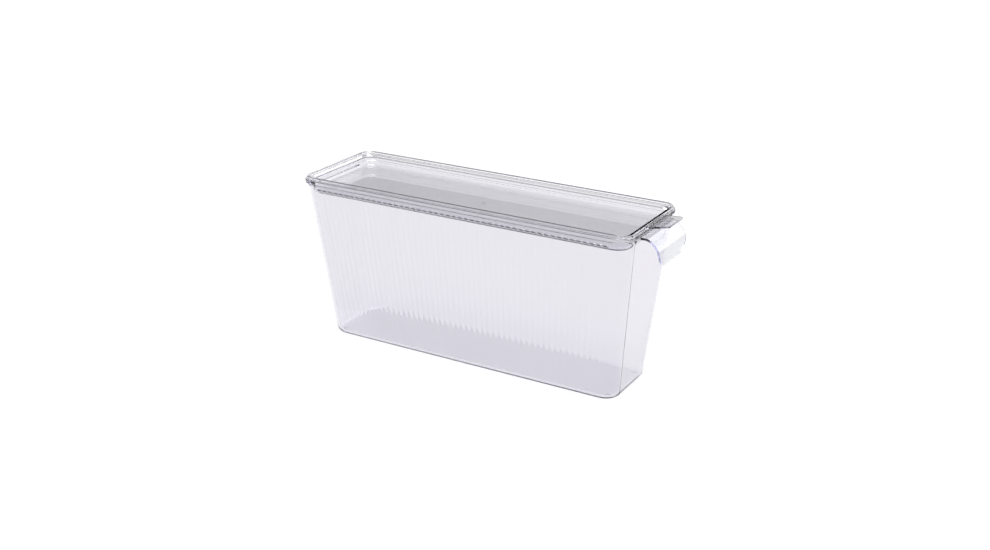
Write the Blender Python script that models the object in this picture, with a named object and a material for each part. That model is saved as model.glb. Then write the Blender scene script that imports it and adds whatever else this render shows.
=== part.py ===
# Fridge drawer organizer: a clear tapered box with a hood handle, and its lift-off lid.
# Metres, +Z up. The origin is the middle of the flat underside of the box.
# The handle and the lid's pull tab point to -Y.
import math

import bmesh
import bpy
from mathutils import Vector

# Box body, outer sizes
base_width = 0.0638
base_length = 0.2704
box_height = 0.1375
wall = 0.002
floor_thickness = 0.0022
base_corner_radius = 0.013
mouth_corner_radius = 0.015
base_edge_radius = 0.0042
floor_fillet_radius = 0.0028

# Collar round the mouth
collar_height = 0.0027
collar_reach = 0.0007
collar_edge_radius = 0.0004
mouth_edge_radius = 0.0005

# Flutes inside both long walls and the back wall
flutes_long = 49
flutes_back = 13
flute_depth = 0.00023
flute_start = 0.0007
flute_head_depth = 0.0012
flute_head_rise = 0.00055
flute_head_fall = 0.0009
flute_foot = 0.008
flute_fade = 0.006

# Seats for stick-on feet under the four corners
foot_seat_diameter = 0.0045
foot_seat_depth = 0.0004
foot_seat_inset = 0.0086

# Handle hood on the front wall
handle_width = 0.0496
handle_reach = 0.0166
handle_shelf = 0.0042
handle_drop = 0.0133
handle_fullness_share = 0.48
handle_thickness = 0.0018
lip_drop = 0.01
lip_curl_radius = 0.052
lip_corner_radius = 0.0128
lip_bow = 0.0016
handle_top_step = 0.0003
handle_root_depth = 0.001

# Lid
lid_width = 0.0946
lid_length = 0.3
lid_corner_radius = 0.0115
lid_overhang = 0.0004
lid_seat_gap = 0.0003
plug_clearance = 0.0005
lid_wall = 0.002
flange_height = 0.003
flange_edge_radius = 0.0006
bead_inset = 0.0013
bead_width = 0.0026
bead_rise = 0.0022
bead_edge_radius = 0.0006
rim_edge_radius = 0.0008
panel_drop = 0.0116
panel_thickness = 0.002
panel_fillet_radius = 0.0026
plug_edge_radius = 0.0038

# Pull tab on the lid
tab_reach = 0.0175
tab_root_width = 0.0346
tab_tip_width = 0.0256
tab_thickness = 0.0015
tab_tip_rise = 0.0028
tab_top_step = 0.0005
tab_corner_radius = 0.003
tab_root_depth = 0.0022

# Gate mark in the middle of the lid's panel
gate_diameter = 0.0042
gate_depth = 0.0004

# Facet counts, the angle from which an edge looks sharp, and how close two shares count as one
corner_steps = 6
fillet_steps = 3
handle_steps = 10
lip_steps = 6
round_sides = 16
samples_per_flute = 4
sharp_from = math.radians(35)
same_share = 1e-9

# Colour of the plastic, and how solid it looks in a viewport
plastic_colour = (0.84, 0.84, 0.9)
viewport_alpha = 0.4

# Sizes and levels worked out from those above
mouth_width = lid_width - 2 * (collar_reach + lid_overhang)
mouth_length = lid_length - 2 * (collar_reach + lid_overhang)
collar_bottom = box_height - collar_height
flange_bottom = box_height + lid_seat_gap
flange_top = flange_bottom + flange_height
lid_top = flange_top + bead_rise
panel_top = lid_top - panel_drop
panel_bottom = panel_top - panel_thickness


def clear_scene():
    for thing in list(bpy.data.objects):
        bpy.data.objects.remove(thing, do_unlink=True)


def clear_plastic(name):
    material = bpy.data.materials.new(name)
    material.use_nodes = True
    shader = material.node_tree.nodes["Principled BSDF"]
    shader.inputs["Base Color"].default_value = (*plastic_colour, 1.0)
    shader.inputs["Roughness"].default_value = 0.04
    shader.inputs["Metallic"].default_value = 0.0
    shader.inputs["IOR"].default_value = 1.57
    shader.inputs["Transmission Weight"].default_value = 1.0
    material.diffuse_color = (*plastic_colour, viewport_alpha)
    return material


def new_object(name, mesh, material=None):
    thing = bpy.data.objects.new(name, mesh)
    bpy.context.scene.collection.objects.link(thing)
    if material is not None:
        mesh.materials.append(material)
    return thing


def mesh_from(build, name):
    grown = bmesh.new()
    build(grown)
    bmesh.ops.recalc_face_normals(grown, faces=grown.faces)
    mesh = bpy.data.meshes.new(name)
    grown.to_mesh(mesh)
    grown.free()
    mesh.shade_smooth()
    mesh.set_sharp_from_angle(angle=sharp_from)
    return mesh


def apply_tool(target, tool, operation):
    tool.hide_render = True
    tool.display_type = "WIRE"
    change = target.modifiers.new(tool.name, "BOOLEAN")
    change.operation = operation
    change.solver = "EXACT"
    change.object = tool


def blend(start, end, share):
    return start + (end - start) * share


# Sizes of the tapered wall at a height

def outer_half(height):
    share = height / collar_bottom
    return Vector((blend(base_width, mouth_width, share) / 2, blend(base_length, mouth_length, share) / 2))


def outer_radius(height):
    return blend(base_corner_radius, mouth_corner_radius, height / collar_bottom)


# A loop is a list of (share of the way round, point). Loops with other counts are stitched by the share.

def flute_offset(share, depth):
    # A flute is a shallow round groove that meets the next one in a sharp ridge
    across = share % 1
    return depth * 4 * across * (1 - across)


def side_points(start, end, outward, first, last, flutes, depth, level):
    points = []
    count = flutes * samples_per_flute
    for step in range(count):
        along = (step + 1) / (count + 1)
        place = start.lerp(end, along)
        place = place + outward * flute_offset(along * flutes, depth)
        points.append((blend(first, last, along), Vector((place.x, place.y, level))))
    return points


def ring(half, radius, level, fluted=False, depth=0.0):
    corners = [(1, -1), (1, 1), (-1, 1), (-1, -1)]
    flutes = [flutes_long, flutes_back, flutes_long, 0]
    points = []
    for index, (side_x, side_y) in enumerate(corners):
        centre = Vector((side_x * (half.x - radius), side_y * (half.y - radius)))
        turn = math.pi / 2
        begin = index * turn - turn
        for step in range(corner_steps + 1):
            angle = begin + turn * step / corner_steps
            share = (index + step / corner_steps / 2) / len(corners)
            place = centre + radius * Vector((math.cos(angle), math.sin(angle)))
            points.append((share, Vector((place.x, place.y, level))))
        if fluted and flutes[index]:
            side_x, side_y = corners[(index + 1) % len(corners)]
            next_centre = Vector((side_x * (half.x - radius), side_y * (half.y - radius)))
            outward = Vector((math.cos(begin + turn), math.sin(begin + turn)))
            start = centre + radius * outward
            end = next_centre + radius * outward
            first = (index + 1 / 2) / len(corners)
            last = (index + 1) / len(corners)
            points += side_points(start, end, outward, first, last, flutes[index], depth, level)
    return points


def stitch(grown, lower, upper):
    low_count = len(lower)
    high_count = len(upper)
    low = 0
    high = 0
    while low < low_count or high < high_count:
        next_low = lower[low + 1][0] if low + 1 < low_count else 1 + lower[(low + 1) % low_count][0]
        next_high = upper[high + 1][0] if high + 1 < high_count else 1 + upper[(high + 1) % high_count][0]
        low_here = lower[low % low_count][1]
        high_here = upper[high % high_count][1]
        low_there = lower[(low + 1) % low_count][1]
        high_there = upper[(high + 1) % high_count][1]
        even = abs(next_low - next_high) < same_share
        if low < low_count and high < high_count and even:
            grown.faces.new((low_here, low_there, high_there, high_here))
            low += 1
            high += 1
        elif high >= high_count or (low < low_count and next_low < next_high):
            grown.faces.new((low_here, low_there, high_here))
            low += 1
        else:
            grown.faces.new((low_here, high_there, high_here))
            high += 1


def loft(grown, rings):
    placed = []
    for points in rings:
        placed.append([(share, grown.verts.new(place)) for share, place in points])
    for lower, upper in zip(placed, placed[1:]):
        stitch(grown, lower, upper)
    grown.faces.new([vert for share, vert in placed[0]])
    grown.faces.new([vert for share, vert in placed[-1]])


# Box

def inset_ring(half, radius, inset, level):
    return ring(half - Vector((inset, inset)), radius - inset, level)


def box_outer_rings():
    rings = []
    for step in range(fillet_steps + 1):
        angle = math.pi / 2 * step / fillet_steps
        level = base_edge_radius * (1 - math.cos(angle))
        inset = base_edge_radius * (1 - math.sin(angle))
        rings.append(inset_ring(outer_half(level), outer_radius(level), inset, level))
    half = outer_half(collar_bottom)
    radius = outer_radius(collar_bottom)
    rings.append(ring(half, radius, collar_bottom))
    rings.append(inset_ring(half, radius, collar_edge_radius - collar_reach, collar_bottom))
    rings.append(inset_ring(half, radius, -collar_reach, collar_bottom + collar_edge_radius))
    rings.append(inset_ring(half, radius, -collar_reach, box_height - collar_edge_radius))
    rings.append(inset_ring(half, radius, collar_edge_radius - collar_reach, box_height))
    return rings


def inner_half(height):
    return outer_half(height) - Vector((wall, wall))


def inner_radius(height):
    return outer_radius(height) - wall


def box_inner_rings():
    rings = []
    lead = inner_half(box_height) + Vector((mouth_edge_radius, mouth_edge_radius))
    rings.append(ring(lead, inner_radius(box_height) + mouth_edge_radius, box_height))
    level = box_height - mouth_edge_radius
    rings.append(ring(inner_half(level), inner_radius(level), level))
    # Each flute has a deeper scooped head under the collar, and fades out above the floor
    start = collar_bottom - flute_start
    head = start - flute_head_rise
    for level, depth in ((start, 0),
                         (head, flute_head_depth),
                         (head - flute_head_fall, flute_depth),
                         (flute_foot + flute_fade, flute_depth),
                         (flute_foot, 0)):
        rings.append(ring(inner_half(level), inner_radius(level), level, True, depth))
    for step in range(fillet_steps):
        angle = math.pi / 2 * step / (fillet_steps - 1)
        level = floor_thickness + floor_fillet_radius * (1 - math.sin(angle))
        inset = floor_fillet_radius * (1 - math.cos(angle))
        rings.append(inset_ring(inner_half(level), inner_radius(level), inset, level))
    return rings


def handle_profile():
    # The hood's outer line from its root over the crown down to the lip, as (y, z)
    root_y = -outer_half(collar_bottom).y + handle_root_depth
    top = box_height - handle_top_step
    shelf_y = -outer_half(collar_bottom).y - handle_shelf
    front_y = -outer_half(collar_bottom).y - handle_reach - handle_top_step
    bend_z = top - handle_drop
    span = shelf_y - front_y
    first = Vector((shelf_y, top))
    second = Vector((shelf_y - span * handle_fullness_share, top))
    third = Vector((front_y, bend_z + handle_drop * handle_fullness_share))
    fourth = Vector((front_y, bend_z))
    line = [Vector((root_y, top))]
    for step in range(handle_steps + 1):
        t = step / handle_steps
        s = 1 - t
        line.append(s ** 3 * first + 3 * s * s * t * second + 3 * s * t * t * third + t ** 3 * fourth)
    sweep = math.asin(lip_drop / lip_curl_radius)
    for step in range(1, lip_steps + 1):
        angle = sweep * step / lip_steps
        y = front_y + lip_curl_radius * (1 - math.cos(angle))
        line.append(Vector((y, bend_z - lip_curl_radius * math.sin(angle))))
    return line


def lip_level(x):
    # Lowest level of the hood at a place across its width: a bowed edge with rounded corners
    half = handle_width / 2
    bottom = box_height - handle_top_step - handle_drop - lip_drop
    level = bottom + lip_bow * (x / half) ** 2
    into_corner = abs(x) - (half - lip_corner_radius)
    if into_corner > 0:
        level += lip_corner_radius - math.sqrt(max(lip_corner_radius ** 2 - into_corner ** 2, 0))
    return level


def cut_line(line, level):
    # Keeps the line down to a level, with the same number of points
    lengths = [0.0]
    end_length = None
    for here, there in zip(line, line[1:]):
        length = (there - here).length
        if here.y > level >= there.y and end_length is None and lengths[-1] > handle_shelf:
            end_length = lengths[-1] + length * (here.y - level) / (here.y - there.y)
        lengths.append(lengths[-1] + length)
    if end_length is None:
        end_length = lengths[-1]
    points = []
    for mark in lengths:
        want = mark * end_length / lengths[-1]
        index = max(i for i, value in enumerate(lengths) if value <= want or i == 0)
        index = min(index, len(line) - 2)
        piece = lengths[index + 1] - lengths[index]
        points.append(line[index].lerp(line[index + 1], (want - lengths[index]) / piece))
    return points


def offset_line(line, distance):
    moved = []
    for index, point in enumerate(line):
        before = line[max(index - 1, 0)]
        after = line[min(index + 1, len(line) - 1)]
        along = (after - before).normalized()
        moved.append(point + distance * Vector((-along.y, along.x)))
    return moved


def across_places():
    half = handle_width / 2
    places = []
    for step in range(corner_steps + 1):
        angle = math.pi / 2 * step / corner_steps
        places.append(half - lip_corner_radius + lip_corner_radius * math.cos(angle))
    places = places + [-place for place in reversed(places)]
    return places


def build_handle(grown):
    line = handle_profile()
    outer_sheet = []
    inner_sheet = []
    for x in across_places():
        outer = cut_line(line, lip_level(x))
        inner = offset_line(outer, handle_thickness)
        outer_sheet.append([grown.verts.new((x, point.x, point.y)) for point in outer])
        inner_sheet.append([grown.verts.new((x, point.x, point.y)) for point in inner])
    for sheet in (outer_sheet, inner_sheet):
        for left, right in zip(sheet, sheet[1:]):
            for index in range(len(left) - 1):
                grown.faces.new((left[index], left[index + 1], right[index + 1], right[index]))
    for outer, inner in ((outer_sheet[0], inner_sheet[0]), (outer_sheet[-1], inner_sheet[-1])):
        for index in range(len(outer) - 1):
            grown.faces.new((outer[index], outer[index + 1], inner[index + 1], inner[index]))
    for end in (0, -1):
        for index in range(len(outer_sheet) - 1):
            grown.faces.new((outer_sheet[index][end], outer_sheet[index + 1][end],
                             inner_sheet[index + 1][end], inner_sheet[index][end]))


def round_tool(name, diameter, height, places, level):
    def build(grown):
        for x, y in places:
            made = bmesh.ops.create_cone(grown, cap_ends=True, segments=round_sides, radius1=diameter / 2,
                                         radius2=diameter / 2, depth=height)
            bmesh.ops.translate(grown, verts=made["verts"], vec=(x, y, level))
    return new_object(name, mesh_from(build, name))


def make_box():
    material = clear_plastic("box_clear_plastic")
    mesh = mesh_from(lambda grown: loft(grown, box_outer_rings() + box_inner_rings()), "box")
    box = new_object("box", mesh, material)
    handle = new_object("handle_blank", mesh_from(build_handle, "handle_blank"))
    apply_tool(box, handle, "UNION")
    seat_x = base_width / 2 - foot_seat_inset
    seat_y = base_length / 2 - foot_seat_inset
    places = [(side_x * seat_x, side_y * seat_y) for side_x in (-1, 1) for side_y in (-1, 1)]
    seats = round_tool("foot_seat_tool", foot_seat_diameter, 2 * foot_seat_depth, places, 0)
    apply_tool(box, seats, "DIFFERENCE")
    return box


# Lid

def lid_half(inset):
    return Vector((lid_width / 2 - inset, lid_length / 2 - inset))


def plug_half(level):
    return inner_half(level) - Vector((plug_clearance, plug_clearance))


def plug_radius(level):
    return inner_radius(level) - plug_clearance


def bowl_rings(level_of_floor, half_at, radius_at, fillet):
    rings = []
    for step in range(fillet_steps + 1):
        angle = math.pi / 2 * step / fillet_steps
        level = level_of_floor + fillet * (1 - math.cos(angle))
        inset = fillet * (1 - math.sin(angle))
        rings.append(inset_ring(half_at(level), radius_at(level), inset, level))
    return rings


def recess_half(level):
    return plug_half(level) - Vector((lid_wall, lid_wall))


def recess_radius(level):
    return plug_radius(level) - lid_wall


def lid_rings():
    rings = bowl_rings(panel_top, recess_half, recess_radius, panel_fillet_radius)
    level = flange_top - rim_edge_radius
    rings.append(ring(recess_half(level), recess_radius(level), level))
    step_in = Vector((rim_edge_radius, rim_edge_radius))
    rings.append(ring(recess_half(flange_top) + step_in, recess_radius(flange_top) + rim_edge_radius, flange_top))
    bead_back = bead_inset + bead_width
    for inset, level in ((bead_back, flange_top),
                         (bead_back, lid_top - bead_edge_radius),
                         (bead_back - bead_edge_radius, lid_top),
                         (bead_inset + bead_edge_radius, lid_top),
                         (bead_inset, lid_top - bead_edge_radius),
                         (bead_inset, flange_top),
                         (flange_edge_radius, flange_top),
                         (0, flange_top - flange_edge_radius),
                         (0, flange_bottom + flange_edge_radius),
                         (flange_edge_radius, flange_bottom)):
        rings.append(ring(lid_half(inset), lid_corner_radius - inset, level))
    rings.append(ring(plug_half(flange_bottom), plug_radius(flange_bottom), flange_bottom))
    rings += reversed(bowl_rings(panel_bottom, plug_half, plug_radius, plug_edge_radius))
    return rings


def tab_outline():
    root = Vector((tab_root_width / 2, -lid_length / 2 + tab_root_depth))
    tip = Vector((tab_tip_width / 2, -lid_length / 2 - tab_reach))
    edge = (root - tip).normalized()
    lean = math.atan2(edge.x, edge.y)
    # The arc in the tip's corner touches the tip's edge and the slanted side
    reach = tab_corner_radius * math.tan((math.pi / 2 - lean) / 2)
    centre = Vector((tip.x - reach, tip.y + tab_corner_radius))
    points = [root]
    for step in range(corner_steps + 1):
        angle = -lean - (math.pi / 2 - lean) * step / corner_steps
        points.append(centre + tab_corner_radius * Vector((math.cos(angle), math.sin(angle))))
    return points + [Vector((-point.x, point.y)) for point in reversed(points)]


def build_tab(grown):
    root_y = -lid_length / 2 + tab_root_depth
    tip_y = -lid_length / 2 - tab_reach
    root_top = lid_top - tab_top_step
    lower = []
    upper = []
    for point in tab_outline():
        top = root_top + tab_tip_rise * (point.y - root_y) / (tip_y - root_y)
        upper.append(grown.verts.new((point.x, point.y, top)))
        lower.append(grown.verts.new((point.x, point.y, top - tab_thickness)))
    grown.faces.new(upper)
    grown.faces.new(lower)
    for index in range(len(upper)):
        after = (index + 1) % len(upper)
        grown.faces.new((lower[index], lower[after], upper[after], upper[index]))


def make_lid():
    material = clear_plastic("lid_clear_plastic")
    lid = new_object("lid", mesh_from(lambda grown: loft(grown, lid_rings()), "lid"), material)
    tab = new_object("tab_blank", mesh_from(build_tab, "tab_blank"))
    apply_tool(lid, tab, "UNION")
    gate = round_tool("gate_tool", gate_diameter, 2 * gate_depth, [(0, 0)], panel_top)
    apply_tool(lid, gate, "DIFFERENCE")
    return lid


clear_scene()
make_box()
make_lid()
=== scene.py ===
import math

import bmesh
import bpy
from mathutils import Matrix, Vector


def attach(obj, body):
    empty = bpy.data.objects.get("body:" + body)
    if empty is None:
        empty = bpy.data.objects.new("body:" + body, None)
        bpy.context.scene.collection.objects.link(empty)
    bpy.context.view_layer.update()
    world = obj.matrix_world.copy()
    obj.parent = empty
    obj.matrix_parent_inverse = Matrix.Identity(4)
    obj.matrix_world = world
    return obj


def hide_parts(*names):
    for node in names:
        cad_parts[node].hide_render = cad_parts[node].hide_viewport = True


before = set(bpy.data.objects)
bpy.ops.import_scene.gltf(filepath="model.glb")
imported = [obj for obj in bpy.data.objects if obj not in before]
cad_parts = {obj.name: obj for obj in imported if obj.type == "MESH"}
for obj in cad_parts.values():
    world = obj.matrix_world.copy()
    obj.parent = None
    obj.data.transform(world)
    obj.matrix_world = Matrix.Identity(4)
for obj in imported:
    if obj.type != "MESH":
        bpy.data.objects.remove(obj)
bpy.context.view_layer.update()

mm = 0.001
smallest = 1e-9


def hexToLinear(code):
    channels = [int(code[i:i + 2], 16) / 255 for i in (1, 3, 5)]
    return [c / 12.92 if c <= 0.04045 else ((c + 0.055) / 1.055) ** 2.4 for c in channels] + [1.0]


def addNode(tree, kind, settings=None, links=None):
    node = tree.nodes.new(kind)
    for name, value in (settings or {}).items():
        if isinstance(name, int) or name in node.inputs:
            node.inputs[name].default_value = value
        else:
            setattr(node, name, value)
    for name, source in (links or {}).items():
        tree.links.new(source, node.inputs[name])
    return node


# The camera stands where the photograph was taken from
shot = {
    "azimuth": -59.45,
    "elevation": 21.54,
    "distance": 1077.96 * mm,
    "lens": 47.6,
    "sensor": 36.0,
    "target": (0, 0, 75 * mm),
    "right": 8.91 * mm,
    "up": -5.49 * mm,
}


def placeCamera():
    turn = math.radians(shot["azimuth"])
    tilt = math.radians(shot["elevation"])
    right = Vector((math.cos(turn), math.sin(turn), 0))
    back = Vector((math.sin(turn) * math.cos(tilt), -math.cos(turn) * math.cos(tilt), math.sin(tilt)))
    up = back.cross(right)
    data = bpy.data.cameras.new("camera")
    data.lens = shot["lens"]
    data.sensor_width = shot["sensor"]
    data.dof.use_dof = False
    camera = bpy.data.objects.new("camera", data)
    bpy.context.scene.collection.objects.link(camera)
    target = Vector(shot["target"]) + right * shot["right"] + up * shot["up"]
    pose = Matrix((right, up, back)).transposed().to_4x4()
    pose.translation = target + back * shot["distance"]
    camera.matrix_world = pose
    bpy.context.scene.camera = camera
    print("camera placed")


# Outer sizes of the box, which repeat the frame's
boxSize = {
    "baseWidth": 63.8 * mm,
    "baseLength": 270.4 * mm,
    "mouthWidth": 92.4 * mm,
    "mouthLength": 297.8 * mm,
    "height": 137.5 * mm,
    "wall": 2 * mm,
    "floor": 2.2 * mm,
    "baseCorner": 13 * mm,
    "mouthCorner": 15 * mm,
    "baseEdge": 4.2 * mm,
    "floorFillet": 2.8 * mm,
    "collarHeight": 2.7 * mm,
    "collarReach": 0.7 * mm,
    "collarEdge": 0.4 * mm,
    "mouthEdge": 0.5 * mm,
    "flutesLong": 49,
    "flutesBack": 13,
    "fluteDepth": 0.23 * mm,
    "fluteStart": 0.7 * mm,
    "fluteHead": 1.2 * mm,
    "fluteHeadRise": 0.55 * mm,
    "fluteHeadFall": 0.9 * mm,
    "fluteFoot": 8 * mm,
    "fluteFade": 6 * mm,
    "footSeatAcross": 4.5 * mm,
    "footSeatDepth": 0.4 * mm,
    "footSeatInset": 8.6 * mm,
}

fineness = {
    "corner": 18,
    "fillet": 7,
    "edge": 5,
    "flute": 10,
    "handle": 26,
    "lip": 14,
    "round": 32,
}

collarBottom = boxSize["height"] - boxSize["collarHeight"]


def blendValue(start, end, share):
    return start + (end - start) * share


def outerHalf(level):
    share = level / collarBottom
    return Vector((blendValue(boxSize["baseWidth"], boxSize["mouthWidth"], share) / 2,
                   blendValue(boxSize["baseLength"], boxSize["mouthLength"], share) / 2))


def outerCorner(level):
    return blendValue(boxSize["baseCorner"], boxSize["mouthCorner"], level / collarBottom)


def innerHalf(level):
    return outerHalf(level) - Vector((boxSize["wall"],) * 2)


def innerCorner(level):
    return outerCorner(level) - boxSize["wall"]


# A ring is a list of (share of the way round, point), so rings with other counts can be stitched
def ring(half, radius, level, fluted=False, depth=0.0):
    corners = [(1, -1), (1, 1), (-1, 1), (-1, -1)]
    flutes = [boxSize["flutesLong"], boxSize["flutesBack"], boxSize["flutesLong"], 0]
    centres = [Vector((x * (half.x - radius), y * (half.y - radius))) for x, y in corners]
    lift = Vector((0, 0, level))
    quarter = math.pi / 2
    points = []
    for index, centre in enumerate(centres):
        begin = (index - 1) * quarter
        for step in range(fineness["corner"] + 1):
            angle = begin + quarter * step / fineness["corner"]
            place = centre + radius * Vector((math.cos(angle), math.sin(angle)))
            share = (index + step / fineness["corner"] / 2) / len(corners)
            points.append((share, place.to_3d() + lift))
        if fluted and flutes[index]:
            outward = Vector((math.cos(begin + quarter), math.sin(begin + quarter)))
            start = centre + radius * outward
            end = centres[(index + 1) % len(corners)] + radius * outward
            count = flutes[index] * fineness["flute"]
            for step in range(count):
                along = (step + 1) / (count + 1)
                across = along * flutes[index] % 1
                # a flute is a parabola across: its full depth midway and none at its edges
                place = start.lerp(end, along) + outward * depth * 4 * across * (1 - across)
                share = (index + 0.5 + along / 2) / len(corners)
                points.append((share, place.to_3d() + lift))
    return points


def insetRing(half, radius, inset, level):
    return ring(half - Vector((inset, inset)), radius - inset, level)


def stitch(grown, lower, upper):
    counts = len(lower), len(upper)
    low = high = 0
    while low < counts[0] or high < counts[1]:
        nextLow = lower[(low + 1) % counts[0]][0] + (low + 1) // counts[0]
        nextHigh = upper[(high + 1) % counts[1]][0] + (high + 1) // counts[1]
        lowHere, lowThere = lower[low % counts[0]][1], lower[(low + 1) % counts[0]][1]
        highHere, highThere = upper[high % counts[1]][1], upper[(high + 1) % counts[1]][1]
        if low < counts[0] and high < counts[1] and abs(nextLow - nextHigh) < smallest:
            grown.faces.new((lowHere, lowThere, highThere, highHere))
            low, high = low + 1, high + 1
        elif high >= counts[1] or (low < counts[0] and nextLow < nextHigh):
            grown.faces.new((lowHere, lowThere, highHere))
            low += 1
        else:
            grown.faces.new((lowHere, highThere, highHere))
            high += 1


def loft(grown, rings):
    placed = [[(share, grown.verts.new(place)) for share, place in points] for points in rings]
    for lower, upper in zip(placed, placed[1:]):
        stitch(grown, lower, upper)
    grown.faces.new([vert for share, vert in placed[0]])
    grown.faces.new([vert for share, vert in placed[-1]])


def arcSteps(count):
    turns = [math.pi / 2 * i / count for i in range(count + 1)]
    return [(math.sin(turn), 1 - math.cos(turn)) for turn in turns]


def pieceFrom(build, name):
    grown = bmesh.new()
    build(grown)
    bmesh.ops.recalc_face_normals(grown, faces=grown.faces)
    mesh = bpy.data.meshes.new(name)
    grown.to_mesh(mesh)
    grown.free()
    piece = bpy.data.objects.new(name, mesh)
    bpy.context.scene.collection.objects.link(piece)
    return piece


finish = {
    "roundSegments": 3,
    "roundFrom": 50,
    "sharpFrom": 24,
    "evenness": 90,
}


def roundEdges(piece, radius):
    soft = piece.modifiers.new("roundEdges", "BEVEL")
    soft.width = radius
    soft.segments = finish["roundSegments"]
    soft.limit_method = "ANGLE"
    soft.angle_limit = math.radians(finish["roundFrom"])
    return applied(piece)


def applied(piece):
    bpy.context.view_layer.update()
    solid = bpy.data.meshes.new_from_object(piece.evaluated_get(bpy.context.evaluated_depsgraph_get()))
    piece.modifiers.clear()
    piece.data = solid
    return piece


def cutOrJoin(piece, tool, operation):
    change = piece.modifiers.new("shape", "BOOLEAN")
    change.operation = operation
    change.solver = "EXACT"
    change.object = tool
    applied(piece)
    bpy.data.objects.remove(tool)


def finishShading(piece):
    piece.data.shade_smooth()
    piece.data.set_sharp_from_angle(angle=math.radians(finish["sharpFrom"]))
    weighted = piece.modifiers.new("evenNormals", "WEIGHTED_NORMAL")
    weighted.mode = "FACE_AREA"
    weighted.keep_sharp = True
    weighted.weight = finish["evenness"]
    applied(piece)


def boxRings():
    size = boxSize
    rings = []
    for out, rise in arcSteps(fineness["fillet"]):
        level = size["baseEdge"] * rise
        rings.append(insetRing(outerHalf(level), outerCorner(level), size["baseEdge"] * (1 - out), level))
    half, corner = outerHalf(collarBottom), outerCorner(collarBottom)
    rings.append(ring(half, corner, collarBottom))
    edge, reach = size["collarEdge"], size["collarReach"]
    for out, rise in arcSteps(fineness["edge"]):
        rings.append(insetRing(half, corner, edge * (1 - out) - reach, collarBottom + edge * rise))
    for out, rise in reversed(arcSteps(fineness["edge"])):
        rings.append(insetRing(half, corner, edge * (1 - out) - reach, size["height"] - edge * rise))
    edge = size["mouthEdge"]
    half, corner = innerHalf(size["height"]), innerCorner(size["height"])
    for out, rise in arcSteps(fineness["edge"]):
        rings.append(insetRing(half, corner, -edge * (1 - out), size["height"] - edge * rise))
    start = collarBottom - size["fluteStart"]
    head = start - size["fluteHeadRise"]
    flutes = [(start, 0), (head, size["fluteHead"]), (head - size["fluteHeadFall"], size["fluteDepth"]),
              (size["fluteFoot"] + size["fluteFade"], size["fluteDepth"]), (size["fluteFoot"], 0)]
    for level, depth in flutes:
        rings.append(ring(innerHalf(level), innerCorner(level), level, True, depth))
    for out, rise in reversed(arcSteps(fineness["fillet"])):
        level = size["floor"] + size["floorFillet"] * rise
        inset = size["floorFillet"] * (1 - out)
        rings.append(insetRing(innerHalf(level), innerCorner(level), inset, level))
    return rings


# The hood is one curve from the collar, over and down to the lip, swept across the width
handleSize = {
    "width": 49.6 * mm,
    "reach": 16.6 * mm,
    "shelf": 4.2 * mm,
    "drop": 13.3 * mm,
    "fullnessShare": 0.48,
    "thickness": 1.8 * mm,
    "lipDrop": 10 * mm,
    "lipCurl": 52 * mm,
    "lipCorner": 12.8 * mm,
    "lipBow": 1.6 * mm,
    "topStep": 0.3 * mm,
    "rootDepth": 1 * mm,
    "edge": 0.35 * mm,
}


def handleLine():
    size = handleSize
    wallFront = -outerHalf(collarBottom).y
    top = boxSize["height"] - size["topStep"]
    shelf = wallFront - size["shelf"]
    front = wallFront - size["reach"] - size["topStep"]
    bend = top - size["drop"]
    pull = (shelf - front) * size["fullnessShare"]
    posts = [Vector(p) for p in ((shelf, top), (shelf - pull, top),
                                 (front, bend + size["drop"] * size["fullnessShare"]), (front, bend))]
    line = [Vector((wallFront + size["rootDepth"], top))]
    for step in range(fineness["handle"] + 1):
        t = step / fineness["handle"]
        s = 1 - t
        line.append(s ** 3 * posts[0] + 3 * s * s * t * posts[1]
                    + 3 * s * t * t * posts[2] + t ** 3 * posts[3])
    sweep = math.asin(size["lipDrop"] / size["lipCurl"])
    for step in range(1, fineness["lip"] + 1):
        angle = sweep * step / fineness["lip"]
        line.append(Vector((front + size["lipCurl"] * (1 - math.cos(angle)),
                            bend - size["lipCurl"] * math.sin(angle))))
    return line


def lipLevel(x):
    size = handleSize
    half = size["width"] / 2
    bottom = boxSize["height"] - size["topStep"] - size["drop"] - size["lipDrop"]
    level = bottom + size["lipBow"] * (x / half) ** 2
    into = abs(x) - (half - size["lipCorner"])
    if into > 0:
        level += size["lipCorner"] - math.sqrt(max(size["lipCorner"] ** 2 - into ** 2, 0))
    return level


def cutLine(line, level):
    lengths = [0.0]
    ends = []
    for here, there in zip(line, line[1:]):
        length = (there - here).length
        if here.y > level >= there.y:
            ends.append(lengths[-1] + length * (here.y - level) / (here.y - there.y))
        lengths.append(lengths[-1] + length)
    end = ends[-1] if ends else lengths[-1]
    points = []
    for mark in lengths:
        want = mark * end / lengths[-1]
        index = min(max(i for i, value in enumerate(lengths) if value <= want + smallest), len(line) - 2)
        piece = lengths[index + 1] - lengths[index]
        points.append(line[index].lerp(line[index + 1], (want - lengths[index]) / piece))
    return points


def offsetLine(line, distance):
    moved = []
    for index, point in enumerate(line):
        along = line[min(index + 1, len(line) - 1)] - line[max(index - 1, 0)]
        moved.append(point + distance * Vector((-along.y, along.x)).normalized())
    return moved


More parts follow.
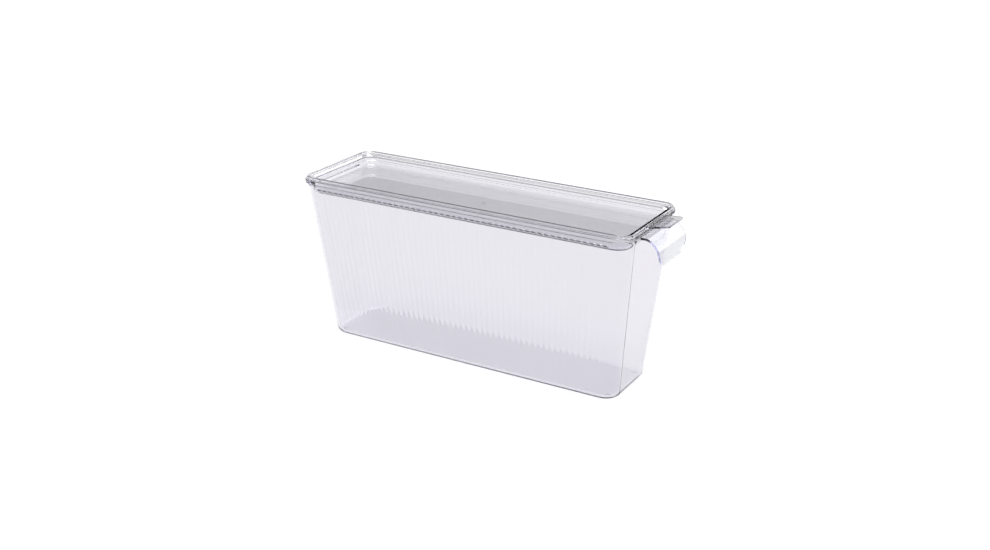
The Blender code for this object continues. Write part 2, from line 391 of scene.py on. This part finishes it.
def buildHandle(grown):
    size = handleSize
    line = handleLine()
    middle = size["width"] / 2 - size["lipCorner"]
    places = [middle + size["lipCorner"] * out for out, rise in reversed(arcSteps(fineness["corner"]))]
    places += [-place for place in reversed(places)]
    sheets = [[], []]
    for x in places:
        outer = cutLine(line, lipLevel(x))
        for sheet, points in zip(sheets, (outer, offsetLine(outer, size["thickness"]))):
            sheet.append([grown.verts.new((x, point.x, point.y)) for point in points])
    for sheet in sheets:
        for left, right in zip(sheet, sheet[1:]):
            for index in range(len(left) - 1):
                grown.faces.new((left[index], left[index + 1], right[index + 1], right[index]))
    for end in (0, -1):
        outer, inner = sheets[0][end], sheets[1][end]
        for index in range(len(outer) - 1):
            grown.faces.new((outer[index], outer[index + 1], inner[index + 1], inner[index]))
        for index in range(len(places) - 1):
            grown.faces.new((sheets[0][index][end], sheets[0][index + 1][end],
                             sheets[1][index + 1][end], sheets[1][index][end]))


def roundTool(name, across, height, places, level):
    def build(grown):
        for x, y in places:
            made = bmesh.ops.create_cone(grown, cap_ends=True, segments=fineness["round"], radius1=across / 2,
                                         radius2=across / 2, depth=height)
            bmesh.ops.translate(grown, verts=made["verts"], vec=(x, y, level))
    return pieceFrom(build, name)


def makeBox(material):
    size = boxSize
    piece = pieceFrom(lambda grown: loft(grown, boxRings()), "clearBox")
    handle = roundEdges(pieceFrom(buildHandle, "handleBlank"), handleSize["edge"])
    cutOrJoin(piece, handle, "UNION")
    seatX = size["baseWidth"] / 2 - size["footSeatInset"]
    seatY = size["baseLength"] / 2 - size["footSeatInset"]
    seats = [(x * seatX, y * seatY) for x in (-1, 1) for y in (-1, 1)]
    seatTool = roundTool("seatTool", size["footSeatAcross"], 2 * size["footSeatDepth"], seats, 0)
    cutOrJoin(piece, seatTool, "DIFFERENCE")
    finishShading(piece)
    piece.data.materials.clear()
    piece.data.materials.append(material)
    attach(piece, "box")
    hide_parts("box")
    print("box made with", len(piece.data.polygons), "faces")


lidSize = {
    "width": 94.6 * mm,
    "length": 300 * mm,
    "corner": 11.5 * mm,
    "seatGap": 0.3 * mm,
    "plugClearance": 0.5 * mm,
    "wall": 2 * mm,
    "flangeHeight": 3 * mm,
    "flangeEdge": 0.6 * mm,
    "beadInset": 1.3 * mm,
    "beadWidth": 2.6 * mm,
    "beadRise": 2.2 * mm,
    "beadEdge": 0.6 * mm,
    "rimEdge": 0.8 * mm,
    "panelDrop": 11.6 * mm,
    "panelThickness": 2 * mm,
    "panelFillet": 2.6 * mm,
    "plugEdge": 3.8 * mm,
    "tabReach": 17.5 * mm,
    "tabRootWidth": 34.6 * mm,
    "tabTipWidth": 25.6 * mm,
    "tabThickness": 1.5 * mm,
    "tabTipRise": 2.8 * mm,
    "tabTopStep": 0.5 * mm,
    "tabCorner": 3 * mm,
    "tabEdge": 0.35 * mm,
    "tabRootDepth": 2.2 * mm,
    "gateAcross": 4.2 * mm,
    "gateDepth": 0.4 * mm,
}

flangeBottom = boxSize["height"] + lidSize["seatGap"]
flangeTop = flangeBottom + lidSize["flangeHeight"]
lidTop = flangeTop + lidSize["beadRise"]
panelTop = lidTop - lidSize["panelDrop"]
panelBottom = panelTop - lidSize["panelThickness"]


def plugHalf(level):
    return innerHalf(level) - Vector((lidSize["plugClearance"],) * 2)


def plugCorner(level):
    return innerCorner(level) - lidSize["plugClearance"]


def recessHalf(level):
    return plugHalf(level) - Vector((lidSize["wall"],) * 2)


def recessCorner(level):
    return plugCorner(level) - lidSize["wall"]


def bowlRings(floorLevel, halfAt, cornerAt, fillet):
    rings = []
    for out, rise in arcSteps(fineness["fillet"]):
        level = floorLevel + fillet * rise
        rings.append(insetRing(halfAt(level), cornerAt(level), fillet * (1 - out), level))
    return rings


def lidRings():
    size = lidSize
    rings = bowlRings(panelTop, recessHalf, recessCorner, size["panelFillet"])
    half, corner = recessHalf(flangeTop), recessCorner(flangeTop)
    opening = arcSteps(fineness["edge"])
    closing = opening[::-1]
    edge = size["rimEdge"]
    for out, rise in closing:
        rings.append(insetRing(half, corner, -edge * rise, flangeTop - edge * (1 - out)))
    lidHalf = Vector((size["width"], size["length"])) / 2
    back, front, edge = size["beadInset"] + size["beadWidth"], size["beadInset"], size["beadEdge"]
    profile = [(back, flangeTop)]
    profile += [(back - edge * rise, lidTop - edge * (1 - out)) for out, rise in opening]
    profile += [(front + edge * rise, lidTop - edge * (1 - out)) for out, rise in closing]
    edge = size["flangeEdge"]
    profile += [(front, flangeTop)]
    profile += [(edge * rise, flangeTop - edge * (1 - out)) for out, rise in closing]
    profile += [(edge * rise, flangeBottom + edge * (1 - out)) for out, rise in opening]
    rings += [insetRing(lidHalf, size["corner"], inset, level) for inset, level in profile]
    rings.append(ring(plugHalf(flangeBottom), plugCorner(flangeBottom), flangeBottom))
    rings += reversed(bowlRings(panelBottom, plugHalf, plugCorner, size["plugEdge"]))
    return rings


def buildTab(grown):
    size = lidSize
    root = Vector((size["tabRootWidth"] / 2, -size["length"] / 2 + size["tabRootDepth"]))
    tip = Vector((size["tabTipWidth"] / 2, -size["length"] / 2 - size["tabReach"]))
    lean = math.atan2((root - tip).x, (root - tip).y)
    radius = size["tabCorner"]
    centre = tip + Vector((-radius * math.tan((math.pi / 2 - lean) / 2), radius))
    outline = [root]
    for step in range(fineness["corner"] + 1):
        angle = -lean - (math.pi / 2 - lean) * step / fineness["corner"]
        outline.append(centre + radius * Vector((math.cos(angle), math.sin(angle))))
    outline += [Vector((-point.x, point.y)) for point in reversed(outline)]
    top = lidTop - size["tabTopStep"]
    levels = [top + size["tabTipRise"] * (p.y - root.y) / (tip.y - root.y) for p in outline]
    layers = []
    for drop in (0, size["tabThickness"]):
        layers.append([grown.verts.new((p.x, p.y, level - drop)) for p, level in zip(outline, levels)])
    upper, lower = layers
    grown.faces.new(upper)
    grown.faces.new(lower)
    for index in range(len(upper)):
        after = (index + 1) % len(upper)
        grown.faces.new((lower[index], lower[after], upper[after], upper[index]))


def makeLid(material):
    size = lidSize
    piece = pieceFrom(lambda grown: loft(grown, lidRings()), "clearLid")
    cutOrJoin(piece, roundEdges(pieceFrom(buildTab, "tabBlank"), size["tabEdge"]), "UNION")
    gateTool = roundTool("gateTool", size["gateAcross"], 2 * size["gateDepth"], [(0, 0)], panelTop)
    cutOrJoin(piece, gateTool, "DIFFERENCE")
    finishShading(piece)
    piece.data.materials.clear()
    piece.data.materials.append(material)
    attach(piece, "lid")
    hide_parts("lid")
    print("lid made with", len(piece.data.polygons), "faces")


# Clear polystyrene, injection moulded in a polished tool: sharp gloss, a faint violet toner that gathers in
# the edges, and haze where it slides on shelves and where fingers pull it; the hazed zones are also painted
# darker, which is painted shade
plastic = {
    "ior": 1.57,
    "polish": 0.015,
    "edgeColour": "#9C98CC",
    "shadow": "#E9E9EE",
    "cloudSize": 35 * mm,
    "cloudDetail": 3.0,
    "cloudShare": 0.08,
    "scratchSize": 1.6 * mm,
    "scratchDetail": 4.0,
    "patchyFrom": 0.75,
    "patchyTo": 1.1,
    "waveSize": 9 * mm,
    "waveDetail": 1.0,
    "waveHeight": 0.006 * mm,
    "waveStrength": 0.6,
}

# Each hazed zone is an axis, where along it the zone starts and is full, its colour painted darker as shade,
# and its roughness
boxLook = {
    "name": "clearPolystyreneBox",
    "tint": "#F5F4F6",
    "density": 25,
    # the underside is painted darker as the table's shadow seen through the floor, and the hood's front as
    # shade where it reflects the table; both are also rougher from scuffs
    "shadesAndScuffs": [("Z", 3 * mm, 0.5 * mm, "#EBEBEE", 0.09), ("Y", -152 * mm, -160 * mm, "#E8E9EC", 0.05)],
}

lidLook = {
    "name": "clearPolystyreneLid",
    "tint": "#FBFBFC",
    "density": 12,
    # the flat panel is painted darker as shade for the dark overhead that it reflects, and is rougher from
    # scratches
    "shadesAndScuffs": [("Z", 132.6 * mm, 131.8 * mm, "#E6E6E9", 0.04)],
}


def clearPolystyrene(name, tint, density, shadesAndScuffs):
    material = bpy.data.materials.new(name)
    material.use_nodes = True
    tree = material.node_tree
    tree.nodes.clear()
    place = addNode(tree, "ShaderNodeTexCoord").outputs["Object"]
    noise = {}
    for kind in ("cloud", "scratch", "wave"):
        settings = {"Scale": 1 / plastic[kind + "Size"], "Detail": plastic[kind + "Detail"]}
        noise[kind] = addNode(tree, "ShaderNodeTexNoise", settings, {"Vector": place}).outputs[0]
    uneven = {"To Min": plastic["polish"] / 2, "To Max": plastic["polish"] * 2}
    rough = addNode(tree, "ShaderNodeMapRange", uneven, {"Value": noise["cloud"]}).outputs[0]
    weaker = {"operation": "MULTIPLY", 1: plastic["cloudShare"]}
    faint = addNode(tree, "ShaderNodeMath", weaker, {0: noise["cloud"]}).outputs[0]
    tints = {"data_type": "RGBA", 6: hexToLinear(tint), 7: hexToLinear(plastic["shadow"])}
    colour = addNode(tree, "ShaderNodeMix", tints, {0: faint}).outputs[2]
    split = addNode(tree, "ShaderNodeSeparateXYZ", {}, {0: place})
    # each zone mixes in its darker colour, which is painted shade, and adds its scuff roughness
    for axis, start, end, shadeColour, dull in shadesAndScuffs:
        span = {"interpolation_type": "SMOOTHSTEP", "From Min": start, "From Max": end}
        inside = addNode(tree, "ShaderNodeMapRange", span, {"Value": split.outputs[axis]}).outputs[0]
        marks = {"To Min": plastic["patchyFrom"], "To Max": plastic["patchyTo"]}
        patchy = addNode(tree, "ShaderNodeMapRange", marks, {"Value": noise["scratch"]}).outputs[0]
        inside = addNode(tree, "ShaderNodeMath", {"operation": "MULTIPLY"}, {0: inside, 1: patchy}).outputs[0]
        shadeMix = {"data_type": "RGBA", 7: hexToLinear(shadeColour)}
        colour = addNode(tree, "ShaderNodeMix", shadeMix, {0: inside, 6: colour}).outputs[2]
        rubbed = addNode(tree, "ShaderNodeMapRange", {"To Max": dull}, {"Value": inside}).outputs[0]
        rough = addNode(tree, "ShaderNodeMath", {"operation": "ADD"}, {0: rough, 1: rubbed}).outputs[0]
    waves = {"Strength": plastic["waveStrength"], "Distance": plastic["waveHeight"]}
    bump = addNode(tree, "ShaderNodeBump", waves, {"Height": noise["wave"]}).outputs[0]
    shader = addNode(tree, "ShaderNodeBsdfPrincipled", {"IOR": plastic["ior"], "Transmission Weight": 1.0},
                     {"Base Color": colour, "Roughness": rough, "Normal": bump})
    shadowRay = addNode(tree, "ShaderNodeLightPath").outputs["Is Shadow Ray"]
    clear = addNode(tree, "ShaderNodeBsdfTransparent", {"Color": hexToLinear(plastic["shadow"])})
    sources = {0: shadowRay, 1: shader.outputs[0], 2: clear.outputs[0]}
    mixed = addNode(tree, "ShaderNodeMixShader", {}, sources)
    toner = {"Color": hexToLinear(plastic["edgeColour"]), "Density": density}
    depth = addNode(tree, "ShaderNodeVolumeAbsorption", toner)
    addNode(tree, "ShaderNodeOutputMaterial", {}, {"Surface": mixed.outputs[0], "Volume": depth.outputs[0]})
    return material


# A plain white studio table that runs on past the picture. Seen past or through the box it is mostly its own
# white, and the rest is lit, so the shadow stays.
table = {
    "across": 12.0,
    "sides": 64,
    "colour": "#F6F6F7",
    "whiteShare": 0.82,
    "sink": 0.05 * mm,
}


def makeTable():
    grown = bmesh.new()
    bmesh.ops.create_circle(grown, cap_ends=True, segments=table["sides"],
                            radius=table["across"] / 2)
    mesh = bpy.data.meshes.new("table")
    grown.to_mesh(mesh)
    grown.free()
    piece = bpy.data.objects.new("table", mesh)
    bpy.context.scene.collection.objects.link(piece)
    piece.location.z = -table["sink"]
    material = bpy.data.materials.new("whiteTable")
    material.use_nodes = True
    tree = material.node_tree
    tree.nodes.clear()
    ray = addNode(tree, "ShaderNodeLightPath")
    seen = addNode(tree, "ShaderNodeMath", {"operation": "MAXIMUM"},
                   {0: ray.outputs["Is Camera Ray"], 1: ray.outputs["Is Glossy Ray"]})
    through = addNode(tree, "ShaderNodeMath", {"operation": "MAXIMUM"},
                      {0: seen.outputs[0], 1: ray.outputs["Is Transmission Ray"]})
    ownWhite = {"operation": "MULTIPLY", 1: table["whiteShare"]}
    share = addNode(tree, "ShaderNodeMath", ownWhite, {0: through.outputs[0]})
    lit = addNode(tree, "ShaderNodeBsdfDiffuse", {"Color": hexToLinear(table["colour"])})
    white = addNode(tree, "ShaderNodeEmission", {"Color": (1, 1, 1, 1), "Strength": 1.0})
    mixed = addNode(tree, "ShaderNodeMixShader", {},
                    {0: share.outputs[0], 1: lit.outputs[0], 2: white.outputs[0]})
    addNode(tree, "ShaderNodeOutputMaterial", {}, {"Surface": mixed.outputs[0]})
    mesh.materials.append(material)
    print("table laid")


# White at the horizon and grey overhead, with a black flag that the flat panel of the lid reflects
studio = {
    "horizon": 1.0,
    "ceiling": 0.45,
    "dimFrom": 0.1,
    "dimTo": 0.35,
    "flag": (0.80, 0.47, 0.37),
    "flagEdge": 30,
    "flagCore": 13,
    "seenThrough": 0.5,
}


def makeWorld():
    world = bpy.data.worlds.new("studio")
    bpy.context.scene.world = world
    world.use_nodes = True
    tree = world.node_tree
    tree.nodes.clear()
    direction = addNode(tree, "ShaderNodeTexCoord")
    split = addNode(tree, "ShaderNodeSeparateXYZ", {}, {0: direction.outputs["Generated"]})
    height = addNode(tree, "ShaderNodeMapRange", {"From Min": studio["dimFrom"], "From Max": studio["dimTo"],
                                                  "To Min": studio["horizon"], "To Max": studio["ceiling"]},
                     {"Value": split.outputs["Z"]})
    aimed = {"operation": "DOT_PRODUCT", 1: Vector(studio["flag"]).normalized()}
    toFlag = addNode(tree, "ShaderNodeVectorMath", aimed, {0: direction.outputs["Generated"]})
    falloff = {
        "interpolation_type": "SMOOTHSTEP",
        "To Min": 1.0,
        "To Max": 0.0,
        "From Min": math.cos(math.radians(studio["flagEdge"])),
        "From Max": math.cos(math.radians(studio["flagCore"])),
    }
    clear = addNode(tree, "ShaderNodeMapRange", falloff, {"Value": toFlag.outputs["Value"]})
    flagged = addNode(tree, "ShaderNodeMath", {"operation": "MULTIPLY"},
                      {0: height.outputs[0], 1: clear.outputs[0]})
    ray = addNode(tree, "ShaderNodeLightPath")
    through = addNode(tree, "ShaderNodeMath", {"operation": "MULTIPLY", 1: studio["seenThrough"]},
                      {0: ray.outputs["Is Transmission Ray"]})
    share = addNode(tree, "ShaderNodeMath", {"operation": "MAXIMUM"},
                    {0: through.outputs[0], 1: ray.outputs["Is Camera Ray"]})
    colour = addNode(tree, "ShaderNodeMix", {"data_type": "RGBA", 7: (1, 1, 1, 1)},
                     {0: share.outputs[0], 6: flagged.outputs[0]})
    back = addNode(tree, "ShaderNodeBackground", {"Strength": 1.0}, {"Color": colour.outputs[2]})
    addNode(tree, "ShaderNodeOutputWorld", {}, {"Surface": back.outputs[0]})
    print("studio lit")


# One high soft sun lights the whole table evenly, and a softbox to the right shines on the hood
sun = {"aim": (0.25, 0.2, -1.0), "spread": 50, "strength": 2.7}
softboxes = [{
    "name": "rightBox",
    "place": (1.42, -0.6, 0.66),
    "aim": (0, -0.1, 0.1),
    "size": (1.4, 1.1),
    "power": 8.5,
}]


def turnTo(lamp, aim):
    lamp.rotation_euler = Vector(aim).to_track_quat("-Z", "Y").to_euler()


def makeLights():
    data = bpy.data.lights.new("softSun", "SUN")
    data.energy = sun["strength"]
    data.angle = math.radians(sun["spread"])
    lamp = bpy.data.objects.new("softSun", data)
    bpy.context.scene.collection.objects.link(lamp)
    turnTo(lamp, sun["aim"])
    for box in softboxes:
        data = bpy.data.lights.new(box["name"], "AREA")
        data.shape = "RECTANGLE"
        data.size, data.size_y = box["size"]
        data.energy = box["power"]
        lamp = bpy.data.objects.new(box["name"], data)
        bpy.context.scene.collection.objects.link(lamp)
        lamp.location = box["place"]
        turnTo(lamp, Vector(box["aim"]) - Vector(box["place"]))
    print("lamps hung")


# Two clear mouldings one inside the other need many bounces before light gets through
lightPaths = {"max_bounces": 32, "transmission_bounces": 32, "glossy_bounces": 12}

bpy.context.scene.view_settings.view_transform = "Standard"
for path, bounces in lightPaths.items():
    setattr(bpy.context.scene.cycles, path, bounces)
placeCamera()
makeTable()
makeWorld()
makeLights()
makeBox(clearPolystyrene(**boxLook))
makeLid(clearPolystyrene(**lidLook))
